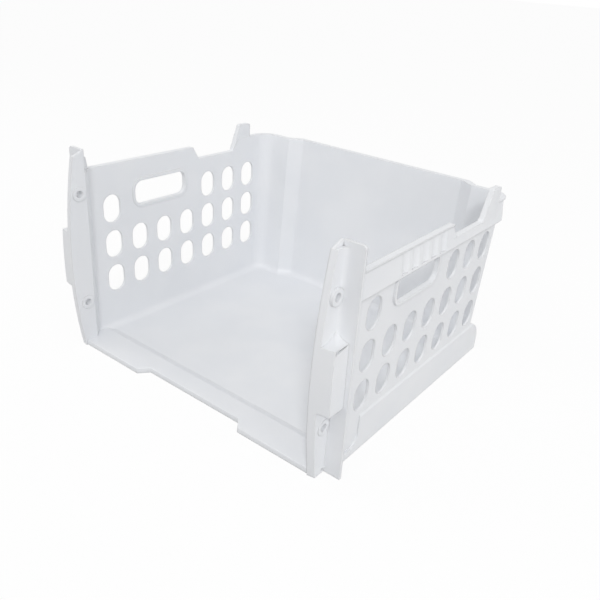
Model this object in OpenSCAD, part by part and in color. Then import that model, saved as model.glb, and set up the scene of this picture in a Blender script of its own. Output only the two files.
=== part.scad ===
// Freezer drawer body: an open-fronted, perforated tub moulded in one piece.
// X is across, Y runs from the open front to the back, Z is up.
// The drawer stands on Z = 0 and its outline is centred on X and Y.

/* [Tub] */
// Outer width of the tub at the floor
tub_w = 404; // [340:1:480]
// Depth from the front lip to the outer face of the back wall, at the floor
tub_d = 366; // [340:1:460]
// Height of the rim above the floor's underside
tub_h = 234; // [225:1:300]
// Thickness of the side walls and the back wall
wall_t = 3; // [2:0.1:4.5]
// Thickness of the floor
floor_t = 3; // [2:0.1:5]
// Outward lean of the side walls, in degrees
side_lean = 1.1; // [0:0.1:2]
// Backward lean of the back wall, in degrees
back_lean = 2; // [0:0.1:4]
// Outer radius of the two upright rear corners
corner_r = 24; // [18:1:40]
// Inner radius where the walls turn into the floor
floor_r = 10; // [4:0.5:14]

/* [Back wall bulge] */
// Width of the flat face of the bulge
bulge_w = 284; // [200:1:300]
// How far the bulge stands back from the corners of the back wall
bulge_out = 13; // [4:0.5:20]
// Width of each slanted side of the bulge
bulge_slope = 16; // [8:0.5:24]
// Radius of the upright corners of the bulge
bulge_r = 4; // [3.5:0.5:8]

/* [Front lip] */
// Width of the finger recess across the lip, at its back edge
recess_w = 152; // [80:1:240]
// Depth of the finger recess
recess_d = 13; // [4:0.5:14]
// Width of each slanted end of the recess
recess_slope = 11; // [4:0.5:20]
// Distance of the drip groove from the lip
groove_y = 46; // [40:1:54]
// Width of the drip groove
groove_w = 2.6; // [1:0.1:4]
// Depth of the drip groove
groove_deep = 0.8; // [0.3:0.1:1.2]
// Length of the drip groove across the floor
groove_len = 340; // [200:1:345]

/* [Rim] */
// How far the flat lip of the rim stands out from the wall
lip_out = 4.5; // [3:0.5:7]
// Thickness of the lip
lip_t = 2; // [1.5:0.1:4]
// How far the top of the skirt under the lip stands out from the wall
skirt_in = 2.5; // [1.5:0.5:2.5]
// How far the foot of the skirt stands out from the wall
skirt_out = 5.5; // [3:0.5:7]
// Height of the rim, from the foot of the skirt to the top of the lip
band_h = 30; // [26:0.5:31]

/* [Side notch and stop] */
// Where the notch in each side rim starts, from the front lip
notch_y = 209; // [200:1:216]
// Length of the floor of the notch
notch_len = 72; // [40:1:84]
// Depth of the notch below the rim
notch_deep = 18; // [8:0.5:20]
// Length of the slanted end of the notch
notch_slope = 12; // [4:0.5:20]
// Height of the drawer stop above the rim
stop_h = 20; // [8:0.5:28]
// Length of the flat top of the stop
stop_len = 20; // [12:0.5:26]
// Length of the slanted front of the stop
stop_slope = 15; // [8:0.5:20]
// Radius along the top of the stop
stop_r = 4; // [1:0.5:6]
// How far the inner faces of the stops and gussets lie outside the inner edge of the wall
rib_set = 0.5; // [0.3:0.1:1]

/* [Wall holes] */
// Width of each hole
hole_w = 27; // [16:0.5:32]
// Height of each hole
hole_h = 38; // [34:0.5:42]
// Distance between two columns of holes
hole_pitch_y = 44; // [38:0.5:46]
// Distance between two rows of holes
hole_pitch_z = 49.5; // [44:0.5:51]
// Distance of the first column from the front lip
hole_first_y = 63; // [58:1:68]
// Gap between the top row of holes and the foot of the rim's skirt
hole_top_gap = 10; // [6:0.5:14]
// Least gap between the lowest row of holes and the runner
hole_low_gap = 1; // [0.5:0.5:5]
// Number of columns
hole_columns = 7; // [5:1:7]

/* [Handle slots] */
// Distance of the middle of the slot from the front lip
slot_y = 147; // [144:0.5:150]
// Length of the slot in each side wall
slot_len = 91; // [70:1:96]
// Height of the slot
slot_h = 33; // [26:0.5:36]
// Corner radius of the slot
slot_r = 12; // [4:0.5:13]
// How far the collar round the slot stands out from the outer face of the wall
collar_out = 2.5; // [1:0.5:4]
// How far the collar stands out from the inner face of the wall
collar_in = 1; // [0.5:0.5:3]
// Width of the collar
collar_w = 4; // [3:0.5:6]
// Number of finger flutes in the skirt above each slot
flute_count = 5; // [2:1:5]
// Distance between two finger flutes
flute_pitch = 21; // [16:0.5:21]
// Radius of a finger flute
flute_r = 14; // [9.5:0.5:20]
// Depth of a finger flute
flute_deep = 2; // [1:0.1:2.5]
// Height of the plain edge of the skirt under the flutes
flute_foot = 3; // [1:0.5:8]

/* [Front posts] */
// Overall width across the feet of the two posts' flanges
flange_w = 435; // [426:1:540]
// How much narrower the two flanges are at the top, overall
flange_draft = 5; // [0:0.5:8]
// Distance of the flange from the front lip
flange_y = 15; // [14:0.5:20]
// Thickness of the flange
flange_t = 3.5; // [2.5:0.1:5]
// Height of the flange
flange_h = 262.5; // [254:0.5:300]
// Chamfer at the top outer corner of the flange
flange_cut = 2.5; // [1:0.5:8]
// Width of the fin's front face below the catch block
fin_w = 9.2; // [8:0.2:14]
// Width of the fin's front face above the catch block
fin_top_w = 7.2; // [6:0.2:8]
// How far the fin bows out in front of the lip
fin_bow = 12.8; // [8:0.2:16]
// How far the fin stands in front of the lip at the floor
fin_foot = 2.2; // [0:0.2:6]
// Backward slant of the front faces of the fin and the catch block, in degrees
fin_slant = 10; // [0:1:16]
// Drop of the inner half of the fin's top from the flange to the front
fin_drop = 6; // [3:0.5:12]
// Level of the outer half of the fin's top below the flange
fin_step = 6; // [2:0.5:10]
// Radius of the hollow corner between the upper fin and the flange
fin_fillet = 5; // [2:0.5:8]
// Bottom of the catch block on the fin
catch_z = 88.5; // [76:0.5:92]
// Height of the catch block
catch_h = 74; // [60:1:84]
// How far the top of the catch block stands out from the lower fin
catch_out = 12.7; // [8:0.1:15]
// How much further the bottom of the catch block stands out
catch_draft = 1.8; // [0:0.2:3]
// Rise of the hollow top of the catch block up to the corner of fin and flange
catch_r = 14; // [8:0.5:16]
// Depth of the wedge-shaped nick under the outer edge of the catch block's top
nick_deep = 2.5; // [1:0.5:4]
// Height of the nick at the front
nick_h = 5; // [2:0.5:8]

/* [Panel sockets] */
// Outer diameter of each socket
socket_d = 18.5; // [14:0.5:19]
// Bore of each socket
socket_bore = 9; // [4:0.5:11]
// Height of the lower socket
socket_low_z = 63; // [50:0.5:66]
// Height of the upper socket
socket_high_z = 210; // [200:0.5:224]
// How far a socket stands out from each face of the fin
socket_out = 1; // [0.5:0.5:4]
// Distance of the socket's bore from the flange
socket_y = 9.5; // [9:0.5:12]

/* [Side runners] */
// Height of the runner on each side
runner_h = 51; // [40:1:55]
// How far the runner stands out from the wall
runner_out = 2.4; // [1:0.1:5]
// Height of the slope along the top of the runner
runner_slope = 5; // [1:0.5:8]
// Where the upright front edge of the runner is, from the front lip
runner_y = 66; // [50:1:80]
// How far the runner reaches past the back wall
runner_past = 13; // [6:1:20]
// Radius of the rear end of the runner
runner_r = 38; // [20:1:40]
// Height of the low foot that runs forward from the runner to the flange
runner_foot_h = 9; // [4:0.5:14]
// Radius of the hollow that turns the foot up into the runner's front edge
runner_nose_r = 16; // [6:1:20]

/* [Hidden] */

// Overlap of shapes that are joined, and thickness of a layer that is only hulled
lap = 1;
eps = 0.01;
half_w = tub_w / 2;
side_tan = tan(side_lean);
back_tan = tan(back_lean);
rim_half = half_w + tub_h * side_tan;
rim_back = tub_d + tub_h * back_tan;
// Deepest point of the rim behind the front lip
deep = rim_back + bulge_out + max(lip_out, skirt_out);
band_z = tub_h - band_h;
slot_z = band_z - slot_h / 2;
lip_z = tub_h - lip_t;
notch_z = tub_h - notch_deep;
skirt_tilt = atan((skirt_out - skirt_in) / (band_h - lip_t));
// Rows of holes hang from the rim's skirt, as many as there is room for above the runner
hole_top_z = band_z - hole_top_gap - hole_h / 2;
hole_low_z = runner_h + hole_low_gap + hole_h / 2;
hole_rows = 1 + floor((hole_top_z - hole_low_z) / hole_pitch_z);
// The front lip and the lower part of the fin end this far inside the outer face of the wall
lip_short = 5;
fin_x = half_w - lip_short;
fin_in = fin_x - fin_w;
fin_top_x = fin_in + fin_top_w;
// The fin's top changes level here, and the flange's top reaches in to it
fin_mid = fin_in + fin_top_w / 2;
flange_x = flange_w / 2;
flange_top_x = (flange_w - flange_draft) / 2;
// The fin bows most at this height
bow_z = 122;
bow_r = bow_z * bow_z / (2 * (fin_bow - fin_foot));
ledge_z = catch_z + catch_h;
// Depth of the slanted web behind each flange, from the fin to the side wall
web_deep = 11;
web_slope = web_deep / (half_w - wall_t - fin_in);
web_y = flange_y + lap;
// The catch block's hollow top and its nick start here, behind the lip's plane if positive
catch_y = -fin_bow / 2;
// The bulge's slanted sides move in by this share of an inset, and its root lies this far inside the wall
bulge_share = 0.6;
bulge_root = 12;
// Rows of the rounding along the floor
rings = 5;
// The runners reach this far in under the rounded edge of the floor
runner_root = 6;
// The top of the flange, which reaches in to the fin, starts this far below the rim
flange_root = 10;
// The gusset behind the flange is this deep, and its top drops from the first value to the second
gusset_len = 13;
gusset_top = [3, 14];
rib_x = rim_half - wall_t + rib_set;
// Material left between the nick and the top of the catch block, at its outer edge
nick_cover = 0.8;
// Cutting shapes reach this far past what they cut
past = 20;
reach = 600;

// Half width of the tub at height z
function half_at(z) = half_w + z * side_tan;

// Depth of the tub at height z
function back_at(z) = tub_d + z * back_tan;

// Corner posts of one level of the tub's outline, shrunk by s
module level(z, s, r, front) {
    for (side = [-1, 1]) {
        translate([side * (half_at(z) - s - r), back_at(z) - s - r, z])
            cylinder(r = r, h = eps, $fn = 32);
        translate([side * (half_at(z) - s - lap) - lap, front, z])
            cube([2 * lap, lap, eps]);
    }
}

// One level of the bulge in the back wall, shrunk by s
module bulge_level(z, s) {
    for (side = [-1, 1]) {
        translate([side * (bulge_w / 2 - s - bulge_r), back_at(z) + bulge_out - s - bulge_r, z])
            cylinder(r = bulge_r, h = eps, $fn = 24);
        translate([side * (bulge_w / 2 + bulge_slope - s * bulge_share - lap) - lap,
                   back_at(z) - s - bulge_root, z])
            cube([2 * lap, bulge_root, eps]);
    }
}

// Solid tub, inset by t, with its lower edges rounded to radius r
module tub_solid(t, z0, z1, r, front) {
    for (bulge = [0, 1]) {
        hull() {
            for (k = [0:rings]) {
                turn = 90 * k / rings;
                inset = t + r * (1 - sin(turn));
                z = z0 + r * (1 - cos(turn));
                if (bulge == 0)
                    level(z, inset, corner_r - t, front);
                else
                    bulge_level(z, inset);
            }
            if (bulge == 0)
                level(z1 - eps, t, corner_r - t, front);
            else
                bulge_level(z1 - eps, t);
        }
    }
}

// Outline of the rim in plan, standing out by o, from the front f to the back
module rim_plan(o, f) {
    r = corner_r + o;
    translate([-rim_half - o, f])
        square([2 * (rim_half + o), rim_back + o - r - f]);
    translate([-rim_half - o + r, f])
        square([2 * (rim_half + o - r), rim_back + o - f]);
    for (side = [-1, 1])
        translate([side * (rim_half + o - r), rim_back + o - r])
            circle(r = r, $fn = 64);
    flat = bulge_w / 2 + o * bulge_share;
    polygon([[-flat - bulge_slope, rim_back + o - lap], [-flat, rim_back + bulge_out + o],
             [flat, rim_back + bulge_out + o], [flat + bulge_slope, rim_back + o - lap]]);
}

// Lip round the top of the tub, with a flared skirt under it
module rim() {
    y_mid = rim_back / 2;
    translate([0, 0, lip_z])
        linear_extrude(height = lip_t)
            rim_plan(lip_out, flange_y + 2 * flange_t);
    translate([0, y_mid, band_z])
        linear_extrude(height = band_h - lip_t / 2, scale = (rim_half + skirt_in) / (rim_half + skirt_out))
            translate([0, -y_mid])
                rim_plan(skirt_out, flange_y + lap);
}

// Lower lip that follows the floor of the notch
module notch_lip() {
    intersection() {
        translate([0, 0, notch_z - lip_t])
            linear_extrude(height = lip_t)
                rim_plan(lip_out, flange_y);
        translate([-reach / 2, notch_y + notch_slope / 2, 0])
            cube([reach, notch_len + notch_slope, tub_h]);
    }
}

// Rounded rectangle in the plane of a side wall, centred on y, z
module side_panel(y, z, len, high, r, depth) {
    translate([-depth / 2, y, z])
        rotate([90, 0, 90])
            linear_extrude(height = depth) {
                if (len > 2 * r)
                    square([len - 2 * r, high], center = true);
                if (high > 2 * r)
                    square([len, high - 2 * r], center = true);
                for (a = [-1, 1], b = [-1, 1])
                    translate([a * (len / 2 - r), b * (high / 2 - r)])
                        circle(r = r, $fn = 48);
            }
}

// Collars round the two handle slots, standing out on both faces of the walls
module collars() {
    side_panel(slot_y, slot_z, slot_len + 2 * collar_w, slot_h + 2 * collar_w,
               slot_r + collar_w, 2 * (half_at(slot_z) + collar_out));
}

// Hollow between the inner ends of the two collars
module collar_gap() {
    side_panel(slot_y, slot_z, slot_len + 2 * (collar_w + lap), slot_h + 2 * (collar_w + lap),
               slot_r + collar_w + lap, 2 * (half_at(slot_z) - wall_t - collar_in));
}

// Inner collars, left standing when the inside of the tub is cut out
module inner_collars() {
    difference() {
        side_panel(slot_y, slot_z, slot_len + 2 * collar_w, slot_h + 2 * collar_w,
                   slot_r + collar_w, reach);
        collar_gap();
    }
}

// Upright flutes for the fingers in the skirt above each slot
module finger_flutes() {
    first = slot_y - (flute_count - 1) / 2 * flute_pitch;
    for (side = [-1, 1], i = [0:flute_count - 1])
        translate([side * (rim_half + skirt_out - flute_deep), first + i * flute_pitch, band_z])
            rotate([0, -side * skirt_tilt, 0])
                translate([side * flute_r, 0, flute_foot])
                    cylinder(r = flute_r, h = band_h - lip_t - flute_foot, $fn = 96);
}

// Side view of a runner, with a low foot in front and a round heel
module runner_side() {
    heel = tub_d + runner_past;
    foot_y = flange_y + lap;
    nose_y = runner_y - runner_nose_r;
    polygon([[runner_y, 0], [heel, 0], [heel, runner_h - runner_r], [heel - runner_r, runner_h],
             [runner_y, runner_h]]);
    intersection() {
        translate([heel - runner_r, runner_h - runner_r])
            circle(r = runner_r, $fn = 96);
        square([heel, runner_h]);
    }
    translate([foot_y, 0])
        square([runner_y + lap - foot_y, runner_foot_h]);
    difference() {
        translate([nose_y, runner_foot_h - lap])
            square([runner_nose_r + lap, runner_nose_r + lap]);
        translate([nose_y, runner_foot_h + runner_nose_r])
            circle(r = runner_nose_r, $fn = 96);
    }
}

// Runner along the foot of each side wall, with its top edge sloped off
module runners() {
    for (side = [0, 1])
        mirror([side, 0, 0])
            difference() {
                translate([half_w - runner_root, 0, 0])
                    rotate([90, 0, 90])
                        linear_extrude(height = runner_root + runner_out)
                            runner_side();
                translate([half_w, reach, runner_h])
                    rotate([90, 0, 0])
                        linear_extrude(height = reach)
                            polygon([[0, 0], [2 * runner_out, -2 * runner_slope], [2 * runner_out, lap],
                                     [0, lap]]);
            }
}

// Stops that stand up at the rear end of each side rim
module stops() {
    y0 = notch_y + notch_slope + notch_len;
    y1 = y0 + stop_slope;
    top = tub_h + stop_h;
    for (side = [0, 1])
        mirror([side, 0, 0])
            translate([rib_x, 0, 0])
                rotate([90, 0, 90])
                    linear_extrude(height = rim_half + lip_out - rib_x) {
                        polygon([[y0, notch_z - lip_t], [y1, top - stop_r], [y1 + stop_r, top],
                                 [y1 + stop_len, top], [y1 + stop_len + stop_r, top - stop_r],
                                 [y1 + stop_len + stop_r, notch_z - lip_t]]);
                        for (y = [y1 + stop_r, y1 + stop_len])
                            translate([y, top - stop_r])
                                circle(r = stop_r, $fn = 32);
                    }
}

// Cut that lowers each side rim between the handle and the stop
module notch_cut() {
    y1 = notch_y + notch_slope;
    y2 = y1 + notch_len;
    translate([-reach / 2, 0, 0])
        rotate([90, 0, 90])
            linear_extrude(height = reach)
                polygon([[notch_y, tub_h + lap], [y1, notch_z], [y2, notch_z],
                         [y2 + stop_slope, tub_h + lap]]);
}

// Holes of both side walls, with the handle slots in place of three of them
module wall_holes() {
    for (c = [0:hole_columns - 1], row = [0:hole_rows - 1])
        if (row > 0 || c < 1 || c > 3)
            side_panel(hole_first_y + c * hole_pitch_y, hole_top_z - row * hole_pitch_z,
                       hole_w, hole_h, hole_w / 2, reach);
    side_panel(slot_y, slot_z, slot_len, slot_h, slot_r, reach);
}

// Finger recess in the front lip
module lip_recess() {
    half = recess_w / 2;
    translate([0, 0, -lap])
        linear_extrude(height = floor_t + floor_r)
            polygon([[-half - recess_slope, -lap], [-half, recess_d],
                     [half, recess_d], [half + recess_slope, -lap]]);
}

// Large cylinder whose slanted face is the bowed front of the fin and the catch block
module bow() {
    translate([fin_in, -fin_bow, bow_z])
        rotate([0, 0, fin_slant])
            translate([-past, bow_r, 0])
                rotate([0, 90, 0])
                    cylinder(r = bow_r, h = reach / 2, $fn = 360);
}

// Side view of one half of the fin's top, from its level at the front to that at the flange
module fin_half(x0, x1, front_z, back_z) {
    y1 = flange_y + lap;
    slope = (back_z - front_z) / flange_y;
    translate([x0, 0, 0])
        rotate([90, 0, 90])
            linear_extrude(height = x1 - x0)
                polygon([[-past, 0], [y1, 0], [y1, back_z], [flange_y, back_z], [-past, front_z - past * slope]]);
}

// Front part of a post, on the +X side: fin and catch block
module fin() {
    long = flange_y + lap + past;
    intersection() {
        bow();
        union() {
            fin_half(fin_in, fin_mid, flange_h - fin_drop, flange_h);
            fin_half(fin_mid - lap, fin_top_x, flange_h - fin_step, flange_h - fin_step);
            translate([fin_in, -past, 0])
                cube([fin_w, long, ledge_z]);
            translate([0, flange_y + lap, 0])
                rotate([90, 0, 0])
                    linear_extrude(height = long)
                        polygon([[fin_x - lap, catch_z], [fin_x + catch_out + catch_draft, catch_z],
                                 [fin_x + catch_out, ledge_z], [fin_x - lap, ledge_z]]);
        }
    }
    ledge_blend();
    fin_corner();
}

// Hollow top of the catch block, which rises to the corner between the fin and the flange
module ledge_blend() {
    long = flange_y - catch_y;
    long_r = (long * long + catch_r * catch_r) / (2 * catch_r);
    wide = fin_x + catch_out - fin_top_x;
    difference() {
        translate([fin_top_x - lap, catch_y, ledge_z - lap])
            cube([wide + lap, long + lap, catch_r + lap]);
        translate([fin_top_x + catch_r, catch_y - lap, ledge_z + catch_r])
            rotate([-90, 0, 0])
                cylinder(r = catch_r, h = long + 3 * lap, $fn = 96);
        translate([fin_top_x + catch_r, catch_y - lap, ledge_z])
            cube([wide, long + 3 * lap, catch_r + lap]);
        translate([fin_top_x - 2 * lap, catch_y, ledge_z + long_r])
            rotate([0, 90, 0])
                cylinder(r = long_r, h = wide + 4 * lap, $fn = 180);
    }
}

// Hollow corner between the upper fin and the flange
module fin_corner() {
    high = flange_h - fin_step - ledge_z;
    difference() {
        translate([fin_top_x - lap, flange_y - fin_fillet, ledge_z])
            cube([fin_fillet + lap, fin_fillet + lap, high]);
        translate([fin_top_x + fin_fillet, flange_y - fin_fillet, ledge_z - lap])
            cylinder(r = fin_fillet, h = high + 2 * lap, $fn = 64);
    }
}

// Wedge-shaped nick under the outer edge of the catch block's top, deepest in height at the front
module catch_nick() {
    z1 = ledge_z - nick_cover;
    translate([fin_x + catch_out - nick_deep, 0, 0])
        rotate([90, 0, 90])
            linear_extrude(height = past)
                polygon([[catch_y, z1], [flange_y - lap, z1], [catch_y, z1 - nick_h]]);
}

// Flange of a post, on the +X side, with its top outer corner cut off
module flange() {
    translate([0, flange_y + flange_t, 0])
        rotate([90, 0, 0])
            linear_extrude(height = flange_t)
                polygon([[fin_x, 0], [flange_x, 0], [flange_top_x, flange_h - flange_cut],
                         [flange_top_x - flange_cut, flange_h], [fin_mid, flange_h],
                         [fin_mid, tub_h - flange_root], [fin_x, tub_h - flange_root]]);
}

// Gusset that rises from the rim to the back of the flange, on the +X side
module gusset() {
    y0 = flange_y + lap;
    translate([rib_x, 0, 0])
        rotate([90, 0, 90])
            linear_extrude(height = wall_t)
                polygon([[y0, lip_z], [y0, flange_h - gusset_top[0]],
                         [y0 + gusset_len, flange_h - gusset_top[1]],
                         [y0 + gusset_len + wall_t, lip_z]]);
}

// One front post, on the +X side, with its two sockets
module post() {
    difference() {
        fin();
        catch_nick();
    }
    flange();
    gusset();
    for (z = [socket_low_z, socket_high_z])
        translate([fin_in - socket_out, flange_y - socket_y, z])
            rotate([0, 90, 0])
                cylinder(d = socket_d, h = fin_w + 2 * socket_out, $fn = 64);
}

// Slanted webs between the posts and the walls, left when the inside is cut out
module web_prisms() {
    translate([0, 0, -lap])
        linear_extrude(height = reach)
            for (side = [-1, 1])
                polygon([[side * fin_in, -reach], [side * reach, -reach],
                         [side * reach, web_y + (reach - fin_in) * web_slope],
                         [side * fin_in, web_y]]);
}

// Room in front of the flanges, where the tub gives way to the posts
module post_clearance() {
    for (side = [0, 1])
        mirror([side, 0, 0]) {
            translate([fin_x, -lap, -lap])
                cube([reach, flange_y + lap, reach]);
            translate([fin_top_x, -lap, ledge_z])
                cube([reach, flange_y + lap, reach]);
        }
}

// Bores of the sockets of one post, on the +X side
module socket_bores() {
    for (z = [socket_low_z, socket_high_z])
        translate([fin_in - past, flange_y - socket_y, z])
            rotate([0, 90, 0])
                cylinder(d = socket_bore, h = fin_w + catch_out + 2 * past, $fn = 48);
}

// The moulded drawer body
module drawer_body() {
    color("white")
    translate([0, (fin_bow - deep) / 2, 0])
    difference() {
        union() {
            difference() {
                union() {
                    tub_solid(0, 0, tub_h, floor_r + wall_t, 0);
                    rim();
                    collars();
                    runners();
                    notch_lip();
                }
                difference() {
                    tub_solid(wall_t, floor_t, tub_h + lap, floor_r, -past);
                    web_prisms();
                    inner_collars();
                }
                notch_cut();
                lip_recess();
                finger_flutes();
                post_clearance();
            }
            stops();
            for (side = [0, 1])
                mirror([side, 0, 0])
                    post();
        }
        wall_holes();
        for (side = [0, 1])
            mirror([side, 0, 0])
                socket_bores();
        translate([-groove_len / 2, groove_y, floor_t - groove_deep])
            cube([groove_len, groove_w, floor_t]);
    }
}

drawer_body();
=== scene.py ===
import math

import bmesh
import bpy
from mathutils import Matrix, Vector


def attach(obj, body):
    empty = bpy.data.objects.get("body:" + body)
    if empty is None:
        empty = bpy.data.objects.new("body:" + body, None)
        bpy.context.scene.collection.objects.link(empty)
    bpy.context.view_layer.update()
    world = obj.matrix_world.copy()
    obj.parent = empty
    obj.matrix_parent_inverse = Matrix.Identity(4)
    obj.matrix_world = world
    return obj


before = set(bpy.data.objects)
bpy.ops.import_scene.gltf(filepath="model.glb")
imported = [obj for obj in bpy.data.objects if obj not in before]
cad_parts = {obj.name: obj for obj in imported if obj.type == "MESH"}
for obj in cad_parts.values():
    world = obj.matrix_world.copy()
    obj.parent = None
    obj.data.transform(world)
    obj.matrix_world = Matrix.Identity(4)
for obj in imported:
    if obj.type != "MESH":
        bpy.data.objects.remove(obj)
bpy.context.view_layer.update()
scene = bpy.context.scene
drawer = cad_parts["drawer_body"]


class Wire:
    # a shader socket that adds Math nodes when it is used in arithmetic
    def __init__(self, tree, socket):
        self.tree = tree
        self.socket = socket

    def maths(self, operation, *values):
        node = self.tree.nodes.new("ShaderNodeMath")
        node.operation = operation
        for i, value in enumerate(values):
            if isinstance(value, Wire):
                self.tree.links.new(value.socket, node.inputs[i])
            else:
                node.inputs[i].default_value = value
        return Wire(self.tree, node.outputs[0])

    def __add__(self, other): return self.maths("ADD", self, other)
    def __radd__(self, other): return self.maths("ADD", other, self)
    def __sub__(self, other): return self.maths("SUBTRACT", self, other)
    def __rsub__(self, other): return self.maths("SUBTRACT", other, self)
    def __mul__(self, other): return self.maths("MULTIPLY", self, other)

    def clip(self, low, high):
        # 0 at low and below, 1 at high and above, smooth between
        node = self.tree.nodes.new("ShaderNodeMapRange")
        node.interpolation_type = "SMOOTHSTEP"
        node.inputs["From Min"].default_value = low
        node.inputs["From Max"].default_value = high
        self.tree.links.new(self.socket, node.inputs["Value"])
        return Wire(self.tree, node.outputs["Result"])


class Nodes:
    # the shader nodes of one material or world
    def __init__(self, owner):
        owner.use_nodes = True
        self.owner = owner
        self.tree = owner.node_tree
        self.tree.nodes.clear()

    def put(self, socket, value):
        if isinstance(value, Wire):
            self.tree.links.new(value.socket, socket)
        else:
            socket.default_value = value

    def node(self, kind, settings=None, **inputs):
        node = self.tree.nodes.new("ShaderNode" + kind)
        for key, value in (settings or {}).items():
            setattr(node, key, value)
        for key, value in inputs.items():
            self.put(node.inputs[key.replace("_", " ")], value)
        return node

    def out(self, node, name):
        return Wire(self.tree, node.outputs[name])

    def mix(self, factor, first, second):
        node = self.tree.nodes.new("ShaderNodeMix")
        node.data_type = "RGBA"
        for name, value in (("Factor_Float", factor), ("A_Color", first), ("B_Color", second)):
            self.put(next(s for s in node.inputs if s.identifier == name), value)
        return Wire(self.tree, next(s for s in node.outputs if s.identifier == "Result_Color"))

    def mixShaders(self, factor, first, second):
        mixer = self.node("MixShader", None, Fac=factor)
        self.tree.links.new(first.outputs[0], mixer.inputs[1])
        self.tree.links.new(second.outputs[0], mixer.inputs[2])
        return mixer

    def seen(self):
        # 1 for what the camera and reflections see, 0 for the rays that carry light
        path = self.node("LightPath")
        camera = self.out(path, "Is Camera Ray")
        return camera.maths("MAXIMUM", camera, self.out(path, "Is Glossy Ray"))

    def end(self, kind, shader):
        self.tree.links.new(shader.outputs[0], self.node(kind).inputs["Surface"])
        return self.owner


# camera, at the place and angle from which the photograph was taken
cameraPlace = {
    "location": (0.48045, -0.63375, 0.47115),
    "across": (0.786318, 0.613588, 0.072209),
    "up": (-0.328118, 0.315711, 0.890317),
    "frame": 600,  # width of the picture in pixels
    "focal": 651.164,  # in pixels too
    "sensor": 36,
    "near": 0.01,
    "far": 60,
}


def makeCamera(place):
    data = bpy.data.cameras.new("photoCamera")
    data.sensor_width = place["sensor"]
    data.lens = place["focal"] / place["frame"] * data.sensor_width
    data.clip_start = place["near"]
    data.clip_end = place["far"]
    camera = bpy.data.objects.new("photoCamera", data)
    scene.collection.objects.link(camera)
    across = Vector(place["across"]).normalized()
    up = Vector(place["up"])
    up = (up - up.dot(across) * across).normalized()
    turn = Matrix((across, up, across.cross(up))).transposed()
    camera.matrix_world = Matrix.Translation(place["location"]) @ turn.to_4x4()
    scene.camera = camera


makeCamera(cameraPlace)
print("camera placed")

# white moulded plastic of the drawer, lengths in metres
plasticLook = {
    "colour": (0.835, 0.846, 0.866, 1),
    "shade": (0.805, 0.82, 0.846, 1),
    "rub": (0.89, 0.898, 0.905, 1),
    # colour of the painted shade in creases and under the rim's lip
    "paintedShade": (0.16, 0.165, 0.175, 1),
    "refraction": 1.5,
    # noises, each with its scale, detail and roughness
    "flow": (1 / 0.06, 3.0, 0.55),
    "cloud": (9.0, 2.0, 0.5),
    "grain": (1 / 0.00035, 2.0, 0.6),
    "scuff": (1.0, 4.0, 0.7),
    # where each noise starts to show and where it shows in full
    "flowRange": (0.35, 0.7),
    "cloudRange": (0.4, 0.65),
    "scuffRange": (0.66, 0.74),
    "scuffStretch": (260.0, 9.0, 260.0),
    "scuffTurn": (0.05, 0.0, 0.12),
    "edgeWidth": 0.0018,
    "edgeSamples": 6,
    "edgeRange": (0.01, 0.12),
    "edgeRub": (0.35, 0.4),  # how pale a worn edge is, and how much more where the flow marks are
    "scuffRub": 0.12,
    # painted shade in narrow gaps and corners, found by ambient occlusion
    "paintedShadeWidth": 0.0035,
    "paintedShadeSamples": 8,
    "paintedShadeRange": (0.2, 0.65),
    "paintedShadeStrength": 0.5,
    "paintedShadeLowShare": 0.2,  # share of the painted shade in gaps that is kept low down, near the floor
    "paintedShadeLowRange": (0.05, 0.08),
    # thin line of painted shadow outside under the rim's lip, which fades in and out between these heights
    "rimShadowLow": (0.2294, 0.2306),
    "rimShadowHigh": (0.2318, 0.232),
    "rimShadowInner": (0.2035, 0.2045),  # distance from the middle where the line starts
    "rimShadowFront": (-0.17, -0.168),  # it starts behind the posts
    "rimShadowBack": (0.028, 0.03),  # and ends where the rim drops to its notch
    "rimShadowDark": 0.16,
    "rough": {"plain": 0.38, "grain": 0.10, "flow": 0.12, "scuff": 0.10, "edge": 0.05},
    "bump": {"strength": 0.12, "height": 0.0002, "grain": 0.7, "flow": 0.6, "scuff": -0.4},
    "glow": 0.06,  # share of light that goes under the surface
    "glowDepth": 0.004,
}


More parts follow.
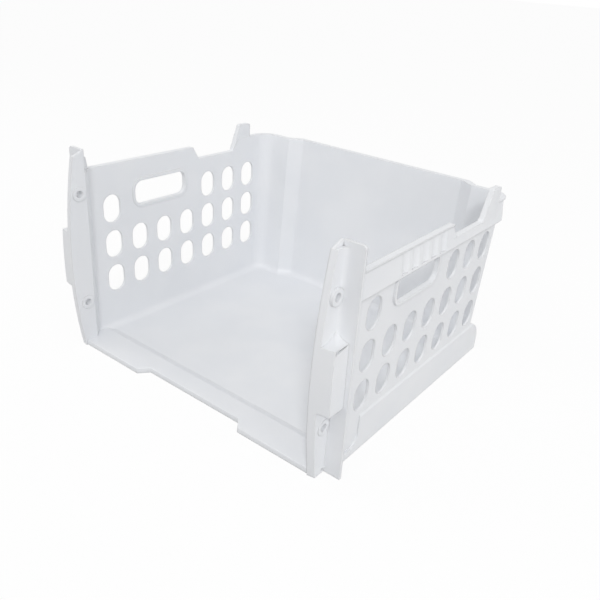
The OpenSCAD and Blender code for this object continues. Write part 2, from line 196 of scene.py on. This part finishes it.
def mouldedPlastic(look):
    f = Nodes(bpy.data.materials.new("whiteMouldedPlastic"))
    place = f.out(f.node("TexCoord"), "Object")

    def noise(where, shape):
        scale, detail, roughness = shape
        made = f.node("TexNoise", None, Vector=where, Scale=scale, Detail=detail, Roughness=roughness)
        return f.out(made, "Fac")

    flow = noise(place, look["flow"])
    cloud = noise(place, look["cloud"])
    grain = noise(place, look["grain"])
    # thin scuffs, stretched along the depth of the drawer where food and rails slide
    stretched = f.node("Mapping", None, Vector=place, Scale=look["scuffStretch"], Rotation=look["scuffTurn"])
    scuff = noise(f.out(stretched, "Vector"), look["scuff"]).clip(*look["scuffRange"])
    # worn edges, found where a widely rounded normal leaves the true one
    soft = f.out(f.node("Bevel", {"samples": look["edgeSamples"]}, Radius=look["edgeWidth"]), "Normal")
    true = f.out(f.node("NewGeometry"), "Normal")
    alike = f.node("VectorMath", {"operation": "DOT_PRODUCT"})
    f.put(alike.inputs[0], soft)
    f.put(alike.inputs[1], true)
    edge = (1 - f.out(alike, "Value")).clip(*look["edgeRange"])
    clean = flow.clip(*look["flowRange"]) * 0.5 + cloud.clip(*look["cloudRange"]) * 0.5
    colour = f.mix(clean, look["shade"], look["colour"])
    plain, more = look["edgeRub"]
    rubbed = edge * (plain + flow * more) + scuff * look["scuffRub"]
    colour = f.mix(rubbed, colour, look["rub"])
    # painted shade: darkening in narrow gaps, corners and under ledges where shade falls, with less of it
    # low down near the floor
    spot = f.node("SeparateXYZ", None, Vector=place)
    up = f.out(spot, "Z")
    around = f.node("AmbientOcclusion", {"samples": look["paintedShadeSamples"]}, Distance=look["paintedShadeWidth"])
    lowShare = look["paintedShadeLowShare"]
    shadeKept = up.clip(*look["paintedShadeLowRange"]) * (1 - lowShare) + lowShare
    creaseShade = (1 - f.out(around, "AO").clip(*look["paintedShadeRange"])) * look["paintedShadeStrength"] * shadeKept
    colour = f.mix(creaseShade, colour, look["paintedShade"])
    along = f.out(spot, "Y")
    aside = f.out(spot, "X")
    aside = aside.maths("ABSOLUTE", aside)
    # painted shadow: a thin dark line outside under the rim's lip
    line = up.clip(*look["rimShadowLow"]) * (1 - up.clip(*look["rimShadowHigh"])) * look["rimShadowDark"]
    line = line * aside.clip(*look["rimShadowInner"])
    line = line * along.clip(*look["rimShadowFront"]) * (1 - along.clip(*look["rimShadowBack"]))
    colour = f.mix(line, colour, look["paintedShade"])
    share = look["rough"]
    rough = (grain - 0.5) * share["grain"] + (flow - 0.5) * share["flow"] + share["plain"]
    rough = rough + scuff * share["scuff"] + edge * share["edge"]
    share = look["bump"]
    height = grain * share["grain"] + flow * share["flow"] + scuff * share["scuff"]
    bump = f.node("Bump", None, Strength=share["strength"], Distance=share["height"],
                  Normal=soft, Height=height)
    shader = f.node("BsdfPrincipled", None, IOR=look["refraction"], Base_Color=colour, Roughness=rough,
                    Normal=f.out(bump, "Normal"), Subsurface_Weight=look["glow"],
                    Subsurface_Radius=(look["glowDepth"],) * 3, Subsurface_Scale=1.0)
    return f.end("OutputMaterial", shader)


def dress(piece, material):
    if not piece.material_slots:
        piece.data.materials.append(material)
    for slot in piece.material_slots:
        slot.material = material


plastic = mouldedPlastic(plasticLook)
dress(drawer, plastic)
print("drawer material set")

# raised front lip with a rounded nose and a soft step down to the floor, in millimetres
lipShape = {
    "height": 7.0,
    "floorTop": 3.02,
    "foot": 0.4,
    "proud": 0.25,  # how far it stands in front of the drawer's own edge, so the two faces never meet
    "edge": -189.936,  # y of the drawer's own front edge
    "flatBack": 37.0,  # where the step down to the floor starts, from the front edge
    "stepBack": 49.4,  # and where it ends
    "stepRows": 8,
    "nose": 1.1,
    "noseSegments": 5,
    "sharp": 35,  # edges that turn by more degrees than this aren't smoothed
    # half the plan, from the middle of the finger recess out into the side wall,
    # as x and distance behind the front edge
    "plan": ((76.0, 13.0), (87.0, 0.0), (188.6, 0.0), (196.0, 6.0), (199.3, 16.5)),
    "endLow": 196.5,  # x of the end at the height of the floor, inside the rounded foot of the wall
    "endFoot": 190.5,  # and at the piece's foot
    "perMetre": 1000,
}


def makeLip(look, material):
    half = look["plan"]
    columns = [(-x, back) for x, back in reversed(half)] + list(half)
    last = half[-1][0]
    top, floorTop, foot = look["height"], look["floorTop"], look["foot"]
    unit = look["perMetre"]

    def endAt(z):
        if z == foot:
            return look["endFoot"]
        return look["endLow"] + (last - look["endLow"]) * (z - floorTop) / (top - floorTop)

    # rows from the foot of the nose over the top and down the step, then under the floor's surface
    rows = [("front", foot), ("front", top)]
    for i in range(look["stepRows"] + 1):
        t = i / look["stepRows"]
        back = look["flatBack"] + (look["stepBack"] - look["flatBack"]) * t
        fall = t * t * (3 - 2 * t)
        rows.append((back, top + (floorTop - top) * fall))
    rows.append((look["stepBack"], foot))
    bm = bmesh.new()
    grid = []
    for back, z in rows:
        line = []
        for x, front in columns:
            y = front - look["proud"] if back == "front" else back
            if abs(x) == last:
                x = math.copysign(endAt(z), x)
            line.append(bm.verts.new((x / unit, (look["edge"] + y) / unit, z / unit)))
        grid.append(line)
    for lower, upper in zip(grid, grid[1:] + grid[:1]):
        for i in range(len(columns) - 1):
            bm.faces.new((lower[i], lower[i + 1], upper[i + 1], upper[i]))
    for i in (0, -1):
        bm.faces.new([line[i] for line in grid])
    bmesh.ops.recalc_face_normals(bm, faces=bm.faces)
    crest = grid[1]
    nose = [bm.edges.get(pair) for pair in zip(crest, crest[1:])]
    bmesh.ops.bevel(bm, geom=nose, offset=look["nose"] / unit, offset_type="OFFSET", affect="EDGES",
                    segments=look["noseSegments"], profile=0.5, material=-1)
    bmesh.ops.recalc_face_normals(bm, faces=bm.faces)
    for face in bm.faces:
        face.smooth = True
    mesh = bpy.data.meshes.new("frontLip")
    bm.to_mesh(mesh)
    bm.free()
    mesh.set_sharp_from_angle(angle=math.radians(look["sharp"]))
    lip = bpy.data.objects.new("frontLip", mesh)
    scene.collection.objects.link(lip)
    dress(lip, material)
    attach(lip, "root")


makeLip(lipShape, plastic)
print("front lip made")

# floor and lights
studio = {
    "floorSize": 60.0,
    "floorColour": (0.96, 0.96, 0.96, 1),
    "floorBounce": (0.52, 0.52, 0.52, 1),  # how pale the floor is to the light that it throws back
    "floorWhite": 0.9,  # share of plain white in the floor as the camera sees it
    "white": (1, 1, 1, 1),
    "world": 0.6,
    "front": {"from": (0.482, -0.637, 0.602), "angle": 0.14, "strength": 0.76},
    "lamps": [
        # name, place, aim, size, watts
        ("topSoftbox", (0.1, 0.0, 1.9), (0.0, 0.0, 0.1), 1.8, 2.5),
        ("rightSoftbox", (1.8, -0.35, 0.5), (0.1, 0.0, 0.1), 1.2, 6.5),
        ("frontSoftbox", (0.3, -1.9, 1.6), (0.0, 0.0, 0.1), 1.6, 2.5),
        ("leftSoftbox", (-1.3, -0.7, 1.5), (0.05, 0.05, 0.1), 1.2, 4.0),
    ],
}


def makeFloor(look):
    bm = bmesh.new()
    bmesh.ops.create_grid(bm, x_segments=1, y_segments=1, size=look["floorSize"] / 2)
    mesh = bpy.data.meshes.new("studioFloor")
    bm.to_mesh(mesh)
    bm.free()
    floor = bpy.data.objects.new("studioFloor", mesh)
    scene.collection.objects.link(floor)
    # the camera and reflections see a floor that is nearly white and keeps the drawer's soft shadow
    f = Nodes(bpy.data.materials.new("studioFloorWhite"))
    seen = f.seen()
    matt = f.node("BsdfDiffuse", None, Color=f.mix(seen, look["floorBounce"], look["floorColour"]))
    white = f.node("Emission", None, Color=look["white"], Strength=1.0)
    mixed = f.mixShaders(seen * look["floorWhite"], matt, white)
    mesh.materials.append(f.end("OutputMaterial", mixed))


def hangLamp(name, data, direction):
    lamp = bpy.data.objects.new(name, data)
    scene.collection.objects.link(lamp)
    lamp.rotation_mode = "QUATERNION"
    lamp.rotation_quaternion = direction.to_track_quat("-Z", "Y")
    return lamp


def makeLamps(look):
    for name, place, aim, size, watts in look["lamps"]:
        data = bpy.data.lights.new(name, "AREA")
        data.shape = "DISK"
        data.size = size
        data.energy = watts
        hangLamp(name, data, Vector(aim) - Vector(place)).location = place
    # even light from above the camera, which puts a thin shadow under each ledge
    front = look["front"]
    data = bpy.data.lights.new("frontLight", "SUN")
    data.angle = front["angle"]
    data.energy = front["strength"]
    hangLamp("frontLight", data, -Vector(front["from"]))


def makeWorld(look):
    world = bpy.data.worlds.new("studioWorld")
    scene.world = world
    f = Nodes(world)
    lit = f.node("Background", None, Color=look["white"], Strength=look["world"])
    shown = f.node("Background", None, Color=look["white"], Strength=1.0)
    f.end("OutputWorld", f.mixShaders(f.seen(), lit, shown))


makeFloor(studio)
makeLamps(studio)
makeWorld(studio)
print("floor, lamps and world made")

scene.view_settings.view_transform = "Standard"
